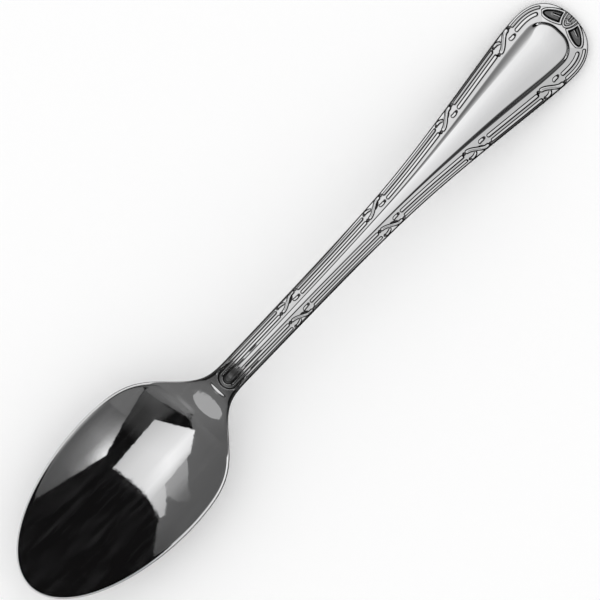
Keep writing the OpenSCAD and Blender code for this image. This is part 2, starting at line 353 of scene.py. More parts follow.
# Pits in a tie: a slanting one beside the crossing, and one at each end of the ribbons, as the place
# along, the ribbon, the shift inwards, and half the pit's length and width
DIP_STEEPNESS = 1.8
PIT_LEAN = 1.25
PIT_PIVOT_D = 1
PIT_PLACE = 0.62
PIT_INSET = 1.02
PIT_HALF_LEN = 0.62
PIT_HALF_W = 0.5
PIT_D = 0.16
END_PIT_D = 0.12
END_PITS = [
    (-2.35, "inner", 0, 0.36, 0.34),
    (2.4, "outer", 0, 0.34, 0.32),
    (-2.15, "outer", 0.1, 0.34, 0.3),
    (2.15, "inner", 0, 0.36, 0.3),
]


def ribbon_insets(place):
    """Distances in from the edge of the two lines that the ribbons cross between."""
    share = end_share(place)
    inner = REED_INSET + reed_step(place) + mix(INNER_SHIFT, INNER_END_SHIFT, share)
    return inner, mix(OUTER_INSET, OUTER_END_INSET, share)


def crossing(f):
    """How far across a ribbon is, from 0 to 1."""
    return smooth((f - CROSS_START)/CROSS_LEN)


def crossing_slope(f):
    at = np.arange(-200, 201)*CROSS_STEP
    return np.interp(f, at, np.gradient(crossing(at), CROSS_STEP))


def over_ribbon(a, d, place):
    """The ribbon on top, which runs outwards and has a crease along it."""
    inner, outer = ribbon_insets(place)
    width = mix(OVER_W, OVER_END_W, end_share(place))
    f = (a - place)*2/TIE_LEN
    lean = (outer - inner)*crossing_slope(f)*2/TIE_LEN
    side = (mix(inner, outer, crossing(f)) - d)/np.sqrt(1 + lean**2)
    past = np.abs(a - place) - (TIE_LEN/2 - OVER_SHORTER - width/2)
    across = np.exp(-((side - CREASE_SIDE)/CREASE_W)**2)
    crease = CREASE_D*smooth((CREASE_HALF - np.abs(f - CREASE_F))/CREASE_END)*across
    return strand(capped(side, past), width, OVER_H) - crease


def under_ribbon(a, d, place):
    """The two ends of the ribbon below, which runs inwards and is hidden at the crossing."""
    inner, outer = ribbon_insets(place)
    width = mix(UNDER_W, UNDER_END_W, end_share(place))
    f = (a - place)*2/TIE_LEN
    in_gap = UNDER_GAP + width/2 - np.abs(a - place - UNDER_GAP_SHIFT)
    past = np.maximum(np.abs(a - place) - UNDER_HALF_LEN, in_gap)
    return strand(capped(d - mix(outer, inner, crossing(f)), past), width, UNDER_H)


def dip(a, d, at, inset, half_len, half_wide, depth):
    """An oval pit."""
    size = np.hypot((a - at)/half_len, (d - inset)/half_wide)
    return -depth*smooth(DIP_STEEPNESS*(1 - size))


def tie_pits(a, d, place):
    inner, outer = ribbon_insets(place)
    leaning_a = a + PIT_LEAN*(d - PIT_PIVOT_D)
    pits = dip(leaning_a, d, place + PIT_PLACE, PIT_INSET, PIT_HALF_LEN, PIT_HALF_W, PIT_D)
    for along, ribbon, shift, half_len, half_wide in END_PITS:
        inset = shift + (inner if ribbon == "inner" else outer)
        pits = pits + dip(a, d, place + along, inset, half_len, half_wide, END_PIT_D)
    return pits


def tie(a, d, place):
    """Heights of the pair of crossed ribbons at this place."""
    raised = np.maximum(over_ribbon(a, d, place), under_ribbon(a, d, place))
    relief = np.where(raised > TIE_LEAST_H, raised, tie_pits(a, d, place))
    return np.where(np.abs(a - place)*2/TIE_LEN < TIE_REACH, relief, 0)


# The bow at the end: a loop on each side of a pointed tongue. The loops are hollow, with a blade in each
LOOP_X = HALF_LEN - 1.85
LOOP_Y = 1.9
LOOP_HALF_LEN = 3.1
LOOP_HALF_W = 1.15
LOOP_LEAN = math.radians(117)
LOOP_GAP = 0.22
LOOP_LINE_W = 0.26
LOOP_LINE_H = 0.13
LOOP_FLOOR_INSET = 0.22
LOOP_FLOOR_SLOPE_W = 0.26
LOOP_D = 0.26
BLADE_H = 0.18
BLADE_SHIFT = 0.1
BLADE_LEAN = 0.1
BLADE_W = 0.22
BLADE_STOP = 1.6
BLADE_FADE = 0.8
TONGUE_X = HALF_LEN + 0.3
TONGUE_LEN = 3
TONGUE_HALF = 1.4
TONGUE_EDGE = 0.02
TONGUE_FADE = 0.1
TONGUE_LINES = [(0.28, 0.24, 0.13), (0.76, 0.2, 0.12), (1.24, 0.3, 0.12)]
LINE_FLANK = 0.13
OVAL_LEAST_SLOPE = 0.2
OVAL_LEAST_SIZE = 1e-6

# Painted shade on the bow: in the tongue's grooves, which are lower than GROOVE_H, and in the loops'
# floors, less on each blade
GROOVE_SHADE = 0.5
GROOVE_H = 0.08
GROOVE_SOFT = 0.06
LOOP_SHADE = 0.95
BLADE_GLEAM = 0.8


def oval_distance(along, across, half_len, half_wide):
    """About the distance to an oval, less than zero inside it."""
    size = np.maximum(OVAL_LEAST_SIZE, np.hypot(along/half_len, across/half_wide))
    steepness = np.hypot(along/half_len**2, across/half_wide**2)/size
    return (size - 1)/np.maximum(steepness, OVAL_LEAST_SLOPE)


def flat_line(distance, wide, height):
    """A flat-topped line with steep sides."""
    return height*(1 - ramp(np.abs(distance) - wide/2, LINE_FLANK))


def tongue_distance(x, y):
    return oval_distance(x - TONGUE_X, y, TONGUE_LEN, TONGUE_HALF)


def loop_parts(x, y):
    """The distance to the loop at +Y, how far the place lies on its floor, and on the blade there."""
    along = (x - LOOP_X)*math.cos(LOOP_LEAN) + (y - LOOP_Y)*math.sin(LOOP_LEAN)
    across = (x - LOOP_X)*math.sin(LOOP_LEAN) - (y - LOOP_Y)*math.cos(LOOP_LEAN)
    oval = oval_distance(along, across, LOOP_HALF_LEN, LOOP_HALF_W)
    outside = np.maximum(oval, LOOP_GAP - tongue_distance(x, y))
    floor = ramp(-outside - LOOP_FLOOR_INSET, LOOP_FLOOR_SLOPE_W)
    off_blade = (across - BLADE_SHIFT - BLADE_LEAN*along)/BLADE_W
    blade = np.exp(-off_blade**2)*smooth((BLADE_STOP - along)/BLADE_FADE)
    return outside, floor, blade


def tongue_bands(x, y):
    """Heights of the lines that follow the tongue's outline."""
    tongue = tongue_distance(x, y)
    return sum(flat_line(tongue + inset, wide, height) for inset, wide, height in TONGUE_LINES)


def bow_height(x, y):
    outside, floor, blade = loop_parts(x, y)
    loop = flat_line(outside, LOOP_LINE_W, LOOP_LINE_H) - floor*(LOOP_D - BLADE_H*blade)
    past_tongue = tongue_distance(x, y) - TONGUE_EDGE
    return np.where(past_tongue < 0, tongue_bands(x, y), loop*smooth(past_tongue/TONGUE_FADE))


# Painted shade in the tongue's grooves and on the loops' floors, with the blades lighter
def bow_shade(x, y):
    _, floor, blade = loop_parts(x, y)
    grooves = GROOVE_SHADE*smooth((GROOVE_H - tongue_bands(x, y))/GROOVE_SOFT)
    in_tongue = tongue_distance(x, y) < TONGUE_EDGE
    return np.where(in_tongue, grooves, floor*(LOOP_SHADE - BLADE_GLEAM*blade))


# Where the border begins, behind the neck: two arches with a crescent lip and two fine lines before them
outer_arch_x = reed_start_x + 0.15
inner_arch_x = reed_start_x + 0.3
EDGE_BAND = 0.42
OUTER_ARCH_HALF = 2.15
OUTER_ARCH_REACH = 1.9
INNER_ARCH_HALF = 1.23
INNER_ARCH_REACH = 1.3
GROUND_D = 0.06
START_D = 0.35
INNER_D = 0.3
STEP_INSET = 0.1
OUTER_STEP_W = 0.33
INNER_STEP_W = 0.3
STEP_FADE = 2.6
ARCH_RIM_SHIFT = 0.05
ARCH_RIM_H = 0.07
OUTER_RIM_W = 0.3
INNER_RIM_W = 0.28
RIM_FADE = 1.2
REEDS_RISE = 0.16
LIP_R = 4.3
LIP_W = 0.42
LIP_HALF = 1.75
LIP_LEAST_SHARE = 0.02
LIP_SLOPE = 0.67
LIP_FLANK = 0.1
lip_centre_x = lip_x + LIP_R - 0.25
LIP_LINES = [0.74, 0.98]
LIP_LINE_W = 0.22
LIP_LINE_H = 0.05
LIP_LINE_HALF = 1.9
LIP_LINE_FADE = 0.6
lip_line_stop_x = lip_x + 2


def arch_distance(x, y, start, half_y, reach):
    """Less than zero inside a stretch that runs along the handle and has a round front."""
    size = np.hypot((x - start)/reach, y/half_y)
    return np.where(x > start, y - half_y, (size - 1)*half_y)


def outer_arch(x, y):
    return arch_distance(x, y, outer_arch_x, OUTER_ARCH_HALF, OUTER_ARCH_REACH)


def inner_arch(x, y):
    return arch_distance(x, y, inner_arch_x, INNER_ARCH_HALF, INNER_ARCH_REACH)


def lip_arch(x, y):
    return arch_distance(x, y, lip_centre_x, LIP_R, LIP_R)


def lip_width(y):
    return LIP_W*np.clip(1 - (y/LIP_HALF)**2, LIP_LEAST_SHARE, 1)


def ground_edge(x, y, d):
    """Less than zero on the border's ground, which the outer arch and a band along the edge bound."""
    return np.where(x > outer_arch_x, EDGE_BAND - d, outer_arch(x, y))


def arch_rims(a, x, y, d):
    """Fine raised rims along both arches."""
    outer = strand(ground_edge(x, y, d) - ARCH_RIM_SHIFT, OUTER_RIM_W, ARCH_RIM_H)
    inner = strand(inner_arch(x, y) - ARCH_RIM_SHIFT, INNER_RIM_W, ARCH_RIM_H)
    return (outer + inner)*(1 - smooth((a - reed_start_x)/RIM_FADE))


def crescent_lip(x, y):
    lip = lip_arch(x, y)
    wide = lip_width(y)
    return LIP_SLOPE*wide*ramp(LIP_FLANK - lip, LIP_FLANK)*(1 - ramp(-lip, wide))


def lip_lines(x, y):
    lines = sum(strand(lip_arch(x, y) + inset, LIP_LINE_W, LIP_LINE_H) for inset in LIP_LINES)
    return lines*smooth((LIP_LINE_HALF - y)/LIP_LINE_FADE)*(x < lip_line_stop_x)


def ground_depth(x, y, d):
    """The border's ground steps down behind each arch and comes up again along the handle."""
    fading = 1 - smooth((x - inner_arch_x)/STEP_FADE)
    outer = ramp(-ground_edge(x, y, d) - STEP_INSET, OUTER_STEP_W)*mix(GROUND_D, START_D, fading)
    inner = ramp(-inner_arch(x, y) - STEP_INSET, INNER_STEP_W)*INNER_D*fading
    return outer + inner


def border_relief(a, x, y, d):
    """Heights of the whole border over the plain top."""
    start = arch_rims(a, x, y, d) + crescent_lip(x, y) + lip_lines(x, y) - ground_depth(x, y, d)
    lines = reeds(a, d)*smooth(-ground_edge(x, y, d)/REEDS_RISE)
    lines = lines + sum(tie(a, d, place) for place in tie_places)
    lines = np.where(a > bow_start_a, bow_height(x, y), lines)
    return np.where(a > BOWL_CUT, start + lines, 0)


# The panel: a wall rises from the border to a low dome. On the wide part the wall is wider at +Y
PANEL_H = 0.1
PANEL_END_H = 0.43
DOME_H = 0.3
PANEL_RISE = 0.8
WALL_W = 0.24
WALL_END_W = 1.1
WALL_CLOSING = 0.3
WALL_CLOSING_POWER = 16
PLUS_Y_WALL_END_W = 1
PLUS_Y_WALL_SWELL = 0.95
PLUS_Y_SWELL_POWER = 6
PLUS_Y_LEAD = 2.5
WALL_TIP_W = 0.56
LEAST_HALF = 0.01


def wall_turn(a, plus_y):
    """How far the wall has turned into its narrow end, which it does earlier at +Y."""
    return smooth((a - tip_x + PLUS_Y_LEAD*plus_y)/TIP_LEN)


def wall_width(a, plus_y):
    share = end_share(a)
    if plus_y:
        wide = mix(WALL_W, PLUS_Y_WALL_END_W, share) + PLUS_Y_WALL_SWELL*share**PLUS_Y_SWELL_POWER
    else:
        wide = mix(WALL_W, WALL_END_W, share) - WALL_CLOSING*share**WALL_CLOSING_POWER
    return mix(wide, WALL_TIP_W, wall_turn(a, plus_y))


def panel(a, d, reach, v, plus_y):
    """Height of the panel. Its wall has a soft foot at -Y and a sharp one at +Y."""
    share = end_share(a)
    half = reach - panel_inset(a)
    size = np.where(a > tip_x, 1, smooth(half/(END_HALF - BORDER_END_W)))
    dome = DOME_H*size*(1 - np.clip(v*reach/np.maximum(half, LEAST_HALF), 0, 1)**2)
    wall = ramp(d - panel_inset(a), wall_width(a, plus_y))
    sharp = share*(1 - wall_turn(a, plus_y))*plus_y
    height = mix(PANEL_H, PANEL_END_H, share)*mix(smooth(wall), wall*(2 - wall), sharp) + dome*wall
    return height*smooth((a - inner_arch_x)/PANEL_RISE)


# Painted shade and painted reflections of dark surroundings in the steel's colour, from 0 to 1: in the
# relief's recesses and steps, and where the metal mirrors something dark
SHADE_EDGE = 0.08
shade_start_x = arch_x - 0.8
FLANK_SLOPE = 0.08
FLANK_SLOPE_RANGE = 0.4
LEAST_STEP = 0.01
# Painted shade in the ties' pits and on the border's sunken ground
pit_start_a = reed_start_x + 6
PIT_SHADE_D = GROUND_D + 0.02
PIT_SHADE_SOFT = 0.05
GROUND_SHADE = 0.17
GROUND_SHADE_SOFT = 0.03

# Painted shade behind the neck: on the arches' steps, the ground between them and the crescent's two
# sides
ARCH_SHADE_FADE = 1.8
arch_fade_x = reed_start_x + 0.6
OUTER_SHADE = (0.1, 0.48)
INNER_SHADE = (0.1, 0.55)
MIDDLE_SHADE = 0.4
MIDDLE_SHADE_HALF = 0.5
LIP_FRONT_SHADE = (0.02, 0.1)
LIP_BACK_SHADE = (0.02, 0.12)
LIP_SHADE_HALF = 1.8

# Painted dark reflection along the handle's rounded edge: a band, which is wider on some stretches by the
# first number
EDGE_SHADE_W = 0.16
EDGE_SHADE_SOFT = 0.12
EDGE_SHADE_X = -26
EDGE_SHADE_RISE = 3
SIDE_SHADE = 0.8
SIDE_SHADE_RISE = 4
EDGE_FADE_A = 60
EDGE_FADE_LEN = 3
EDGE_FADED = 0.4
WIDER_SHADES = [
    (0.18, front_a - 1, 1, 6, 16),
    (0.22, 40, 6, 55, 5),
    (0.28, lip_x - 1, 1, lip_x + 2.6, 1),
]

# Painted shade and painted dark reflection on the panel's wall: at its end, where the panel is a narrow
# ridge, and a little at the foot at +Y
END_WALL_SHADE = (-0.02, 0.46)
end_wall_x = HALF_LEN - TIP_LEN*0.72
END_WALL_RISE = 1.2
RIDGE_SHADE = 0.85
RIDGE_W = 0.2
RIDGE_STRETCH = (reed_start_x + 3, 2, 24, 16)
FOOT_SHADE = 0.45
FOOT_EDGE = 0.06
FOOT_SHARE = 0.3
FOOT_FADE_SHARE = 0.6
FOOT_STRETCH = (36, 10, tip_x, 3)

# Painted shade in dark dashes along the grooves behind the neck: start, stop and y
GROOVE_SHADE_DASHES = [(-15.6, -11.4, -0.68), (-15.2, -13, -1.62), (-16.4, -14.6, 0.5), (-13.1, -11.3, 0.6)]
DASH_FADE = 0.4
DASH_HALF_W = 0.1
TOP_SKIN = 1


def between(value, low, high):
    """1 from low to high, with straight ends."""
    return ramp(value - low, SHADE_EDGE)*(1 - ramp(value - high, SHADE_EDGE))


# Painted shade in the steps and on the crescent's sides where the border begins
def neck_shade(x, y):
    outer = -outer_arch(x, y)
    inner = -inner_arch(x, y)
    middle = MIDDLE_SHADE*ramp(inner - STEP_INSET, STEP_INSET)*smooth(y/MIDDLE_SHADE_HALF)
    steps = np.maximum.reduce([between(outer, *OUTER_SHADE), between(inner, *INNER_SHADE), middle])
    steps = steps*(1 - smooth((x - arch_fade_x)/ARCH_SHADE_FADE))
    lip = lip_arch(x, y)
    sides = np.maximum(between(lip, *LIP_FRONT_SHADE), between(-lip - lip_width(y), *LIP_BACK_SHADE))
    return np.maximum(steps, sides*(y < LIP_SHADE_HALF)*(x < lip_x + 1))


# Painted dark reflection in a band along the rounded edge
def edge_shade(a, d):
    wide = EDGE_SHADE_W + sum(extra*stretch(a, *places) for extra, *places in WIDER_SHADES)
    strength = smooth((a - EDGE_SHADE_X)/EDGE_SHADE_RISE)
    strength = strength*mix(1, EDGE_FADED, smooth((a - EDGE_FADE_A)/EDGE_FADE_LEN))
    return (1 - smooth((d - wide)/EDGE_SHADE_SOFT))*strength


# Painted shade and painted dark reflection on the panel's wall
def wall_shade(a, x, d, plus_y):
    inside = d - panel_inset(a)
    end = between(inside, *END_WALL_SHADE)*smooth((x - end_wall_x)/END_WALL_RISE)
    ridge = RIDGE_SHADE*between(inside, 0, RIDGE_W)*stretch(a, *RIDGE_STRETCH)
    wide = wall_width(a, plus_y)
    foot = ramp(inside, FOOT_EDGE)*(1 - smooth((inside - FOOT_SHARE*wide)/(FOOT_FADE_SHARE*wide)))
    return np.maximum.reduce([end, ridge, FOOT_SHADE*foot*stretch(a, *FOOT_STRETCH)*plus_y])


def flank_shade(x, y, height):
    """Painted shade on the steep sides of the border's lines."""
    step_out = np.hypot(np.gradient(x, axis=1), np.gradient(y, axis=1))
    step_on = np.hypot(np.gradient(x, axis=0), np.gradient(y, axis=0))
    slope = np.hypot(
        np.gradient(height, axis=1)/np.maximum(step_out, LEAST_STEP),
        np.gradient(height, axis=0)/np.maximum(step_on, LEAST_STEP)
    )
    return smooth((slope - FLANK_SLOPE)/FLANK_SLOPE_RANGE)


def painted_shade(a, x, y, d, height, plus_y):
    """Painted shade and painted dark reflections on the top, from the border's heights and the places on
    it.
    """
    flanks = flank_shade(x, y, height)*(a > shade_start_x)
    pits = smooth((-height - PIT_SHADE_D)/PIT_SHADE_SOFT)*(a > pit_start_a)
    ground = GROUND_SHADE*smooth((-height - GROUND_D/2)/GROUND_SHADE_SOFT)
    ground = ground*(a > reed_start_x)*(d < panel_inset(a))
    border = np.maximum.reduce([pits, ground, neck_shade(x, y)*(a > BOWL_CUT)])
    border = np.where(a > bow_start_a, bow_shade(x, y), border)
    return np.maximum.reduce([flanks, border, edge_shade(a, d), wall_shade(a, x, d, plus_y)])


def painted_groove_shade(x, y, z):
    """Painted shade in the dark dashes along the grooves, which lie on the top alone."""
    dashes = sum(
        ramp(x - start, DASH_FADE)*(1 - ramp(x - stop, DASH_FADE))
        * (1 - ramp(np.abs(y - at) - DASH_HALF_W, SHADE_EDGE))
        for start, stop, at in GROOVE_SHADE_DASHES
    )
    return dashes*(z > spine_z(x) - TOP_SKIN)


# Columns of half a section, from the middle of the top, over the edge, to the middle below
FILLET_STEPS = 5
PANEL_STEPS = 14
WALL_STEPS = 7
BORDER_STEPS = 38
RIM_STEPS = 20
SIDE_STEPS = 2
UNDER_STEPS = 16
bowl_steps = BORDER_STEPS + WALL_STEPS + PANEL_STEPS - RIM_STEPS
WALL_MOST_SHARE = 0.8
RIM_ZONE = 2
RIM_ZONE_SHARE = 0.6

# Steps between the rows, along the edge, and how far the fine ones go on past a tie
FRONT_STEP = 0.4
BOWL_STEP = 0.3
THROAT_STEP = 0.2
FINE_STEP = 0.1
BOW_STEP = 0.08
COARSE_STEP = 0.24
TIE_MARGIN = 0.5
LIP_MARGIN = 1
ARCH_MARGIN = 1.5
BOW_MARGIN = 0.4
JOIN_DISTANCE = 1e-5


def spread(start, stop, steps):
    """Even steps from start to stop, which are arrays with one value for each row."""
    share = np.arange(1, steps + 1)/steps
    return mix(start[:, None], stop[:, None], share[None, :])


def fillet_insets(radius, rows):
    """Distances in from the edge of the columns on a rounded edge."""
    turn = np.linspace(0, QUARTER, FILLET_STEPS + 1)
    return np.tile(radius*(1 - np.cos(turn)), (rows, 1))


def rounding(radius, d):
    """How far a rounded edge falls short of a sharp one."""
    return radius - np.sqrt(np.maximum(0, radius**2 - np.maximum(0, radius - d)**2))


def top_insets(a, reach, plus_y):
    """Distances in from the edge of the columns of each row, from the edge to the middle."""
    fillet = fillet_insets(EDGE_R, len(a))
    foot = panel_inset(a)
    top = foot + np.minimum(wall_width(a, plus_y), (reach - foot)*WALL_MOST_SHARE)
    handle = np.hstack([
        fillet,
        spread(fillet[:, -1], foot, BORDER_STEPS),
        spread(foot, top, WALL_STEPS),
        spread(top, reach, PANEL_STEPS),
    ])
    rim = np.minimum(RIM_ZONE, reach*RIM_ZONE_SHARE)
    bowl = np.hstack([
        fillet,
        spread(fillet[:, -1], rim, RIM_STEPS),
        spread(rim, reach, bowl_steps),
    ])
    return mix(bowl, handle, handle_part(np.minimum(a, tip_x))[:, None])


def section_places(a, d):
    """Points at the distances d in from the edge, and v, the share of the way out to it."""
    edge_x, edge_y, centre_x = edge_points(a)
    reach = np.hypot(edge_x - centre_x, edge_y)
    v = 1 - d/reach[:, None]
    return mix(centre_x[:, None], edge_x[:, None], v), edge_y[:, None]*v, v


def top_columns(a, reach, plus_y):
    """The top's points from the edge to the middle: x, y, z and their painted shade."""
    d = top_insets(a, reach, plus_y)
    x, y, v = section_places(a, d)
    along = a[:, None] + 0*d
    lines = border_relief(along, x, y, d)
    # The painted shade and painted dark reflections at each point of the top
    painted_darkness = painted_shade(along, x, y, d, lines, plus_y)
    z = plain_z(x, y, v, RIM_LAND) + lines + panel(along, d, reach[:, None] + 0*d, v, plus_y)
    return np.stack([x, y, z - rounding(EDGE_R, d), painted_darkness], axis=-1)


def under_columns(a, reach):
    """The underside's points from the edge to the middle, flat where the spoon rests."""
    fillet = fillet_insets(UNDER_R, len(a))
    d = np.hstack([fillet, spread(fillet[:, -1], reach, UNDER_STEPS)])
    x, y, v = section_places(a, d)
    z = plain_z(x, y, v) - thickness(x, v) + rounding(UNDER_R, d)
    return np.stack([x, y, np.maximum(0, z), 0*z], axis=-1)


def half_sections(a, plus_y):
    """Points of one half, as if at +Y: one row for each a, one column for each place of the section."""
    edge_x, edge_y, centre_x = edge_points(a)
    reach = np.hypot(edge_x - centre_x, edge_y)
    top = top_columns(a, reach, plus_y)
    below = under_columns(a, reach)
    share = np.arange(1, SIDE_STEPS + 1)/(SIDE_STEPS + 1)
    side = np.empty((len(a), SIDE_STEPS, 4))
    side[..., 0] = edge_x[:, None]
    side[..., 1] = edge_y[:, None]
    side[..., 2] = mix(top[:, :1, 2], below[:, :1, 2], share[None, :])
    # Painted dark reflection on the side, behind the bowl
    side[..., 3] = (SIDE_SHADE*smooth((edge_x - EDGE_SHADE_X)/SIDE_SHADE_RISE))[:, None]
    return np.concatenate([top[:, ::-1], side, below], axis=1)


def row_places():
    """Places of the rows: close together where the relief is fine."""
    stretches = [
        (wide_x, FRONT_STEP), (BOWL_CUT, BOWL_STEP), (lip_x - LIP_MARGIN, THROAT_STEP),
        (reed_start_x + ARCH_MARGIN, FINE_STEP), (NECK_CUT, COARSE_STEP),
    ]
    for place in tie_places:
        stretches.append((place - TIE_LEN/2 - TIE_MARGIN, COARSE_STEP))
        stretches.append((place + TIE_LEN/2 + TIE_MARGIN, FINE_STEP))
        if place < STEM_CUT:
            stretches.append((STEM_CUT, COARSE_STEP))
    stretches += [(reed_stop_a - BOW_MARGIN, COARSE_STEP), (apex_a, BOW_STEP)]
    start = front_a
    rows = [np.array([front_a])]
    for stop, step in stretches:
        count = math.ceil((stop - start)/step)
        rows.append(mix(start, stop, np.arange(1, count + 1)/count))
        start = stop
    return np.concatenate(rows)


def whole_skin(rows):
    """Points of the spoon's skin, its quads row by row, and the points' numbers on each section."""
    near_half = half_sections(rows, True)
    far_half = half_sections(rows, False)[:, -2:0:-1]*np.array([1, -1, 1, 1])
    sections = np.concatenate([near_half, far_half], axis=1)
    x, y, z, painted_darkness = np.moveaxis(sections, -1, 0)
    # The painted shade of the dark dashes in the grooves joins the rest
    sections[..., 3] = np.maximum(painted_darkness, painted_groove_shade(x, y, z))
    points = sections.reshape(-1, 4)
    key = np.round(points[:, :3]/JOIN_DISTANCE).astype(np.int64)
    _, first, joined = np.unique(key, axis=0, return_index=True, return_inverse=True)
    joined = joined.reshape(sections.shape[:2])
    near = joined[:-1]
    far = joined[1:]
    quads = np.stack([near, np.roll(near, -1, 1), np.roll(far, -1, 1), far], axis=-1)
    return points[first], quads, joined


def face_list(quads):
    """Quads as lists, without the repeated corners where the rows meet at a round end."""
    faces = []
    for corner in quads.tolist():
        kept = [v for i, v in enumerate(corner) if v != corner[i - 1]]
        if len(set(kept)) == len(kept) and len(kept) > 2:
            faces.append(kept)
    return faces


def skin_normals(places, quads):
    """Normals that follow the skin across the cuts between the pieces."""
    flat = quads.reshape(-1, 4)
    one_way = places[flat[:, 2]] - places[flat[:, 0]]
    other_way = places[flat[:, 3]] - places[flat[:, 1]]
    facing = np.cross(one_way, other_way)
    normals = np.zeros_like(places)
    for corner in range(4):
        np.add.at(normals, flat[:, corner], facing)
    return normals/np.linalg.norm(normals, axis=1, keepdims=True)


def add_object(name, mesh, material):
    obj = bpy.data.objects.new(name, mesh)
    bpy.context.scene.collection.objects.link(obj)
    mesh.materials.append(material)
    return obj


def add_values(mesh, name, values):
    """One number for each point, which the material reads by this name."""
    attribute = mesh.attributes.new(name, "FLOAT", "POINT")
    attribute.data.foreach_set("value", values.astype(np.float32))


def make_piece(node, points, normals, quads, caps, steel):
    """One piece of the skin, closed by a flat cap at each cut."""
    name = node + "_skin"
    faces = face_list(quads)
    skin_count = len(faces)
    faces += [cap for cap, _ in caps]
    used = sorted({v for face in faces for v in face})
    number = {v: i for i, v in enumerate(used)}
    mesh = bpy.data.meshes.new(name)
    mesh.from_pydata((points[used, :3]*MM).tolist(), [], [[number[v] for v in face] for face in faces])
    # Each point's painted shade, which darkens the steel's colour
    add_values(mesh, "painted_shade", points[used, 3])
    corner_normals = [normals[v] for face in faces[:skin_count] for v in face]
    for cap, direction in caps:
        corner_normals += [np.array([direction, 0, 0])]*len(cap)
    mesh.polygons.foreach_set("use_smooth", [True]*len(faces))
    mesh.normals_split_custom_set(np.array(corner_normals).tolist())
    piece = add_object(name, mesh, steel)
    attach(piece, "root")
    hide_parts(node)


def make_spoon(steel):
    rows = row_places()
    points, quads, joined = whole_skin(rows)
    normals = skin_normals(points[:, :3], quads)
    cuts = [front_a, BOWL_CUT, NECK_CUT, STEM_CUT, apex_a]
    cut_rows = [int(np.argmin(np.abs(rows - cut))) for cut in cuts]
    for i, node in enumerate(NODES):
        start, stop = cut_rows[i], cut_rows[i + 1]
        caps = []
        if i > 0:
            caps.append((joined[start][::-1].tolist(), -1))
        if i < len(NODES) - 1:
            caps.append((joined[stop].tolist(), 1))
        make_piece(node, points, normals, quads[start:stop].reshape(-1, 4), caps, steel)


class Nodes:
    """Adds shader nodes to a tree and links them."""

    def __init__(self, tree):
        self.tree = tree
        tree.nodes.clear()

    def add(self, kind, **values):
        node = self.tree.nodes.new(kind)
        for key, value in values.items():
            setattr(node, key, value)
        return node

    def link(self, source, target):
        self.tree.links.new(source, target)


# The steel: its own colour and the colour of painted shade, grains for each metre along X, Y and Z, and
# heights in metres
POLISHED = (0.78, 0.78, 0.785, 1)
# The dark colour of painted shade and painted dark reflections, mixed in by each point's painted shade
PAINTED_SHADE_COLOUR = (0.08, 0.08, 0.08, 1)
SMUDGE_SCALE = (160, 260, 160)
SCRATCH_SCALE = (500, 7000, 500)
MARK_SCALE = (110, 1100, 110)
WAVE_SCALE = (1300, 1300, 1300)
WAVE_H = 6e-6
SCRATCH_H = 2e-7

# Ranges of the noise, and what they become: the scratches' roughness, which the smudges share out,
# and the marks' metallic value
SMUDGE_RANGE = (0.4, 0.75)
SMUDGE_SHARE = (0.3, 1)
SCRATCH_RANGE = (0.45, 0.8)
SCRATCH_ROUGHNESS = (0.05, 0.2)
MARK_RANGE = (0.45, 0.8)
MARK_METALLIC = (1, 0.982)


def stretched_noise(nodes, scale, detail):
    """Noise with its own scale, in grains for each metre, along X, Y and Z."""
    place = nodes.add("ShaderNodeTexCoord")
    mapping = nodes.add("ShaderNodeMapping")
    mapping.inputs["Scale"].default_value = scale
    nodes.link(place.outputs["Object"], mapping.inputs["Vector"])
    noise = nodes.add("ShaderNodeTexNoise")
    noise.inputs["Scale"].default_value = 1
    noise.inputs["Detail"].default_value = detail
    nodes.link(mapping.outputs["Vector"], noise.inputs["Vector"])
    return noise.outputs["Fac"]


def ranged(nodes, value, source, target):
    """The value, with the source range made the target range."""
    change = nodes.add("ShaderNodeMapRange")
    for name, number in zip(("From Min", "From Max", "To Min", "To Max"), source + target):
        change.inputs[name].default_value = number
    nodes.link(value, change.inputs["Value"])
    return change.outputs["Result"]


def bumped(nodes, value, height, normal=None):
    bump = nodes.add("ShaderNodeBump")
    bump.inputs["Strength"].default_value = 1
    bump.inputs["Distance"].default_value = height
    nodes.link(value, bump.inputs["Height"])
    if normal:
        nodes.link(normal, bump.inputs["Normal"])
    return bump.outputs["Normal"]


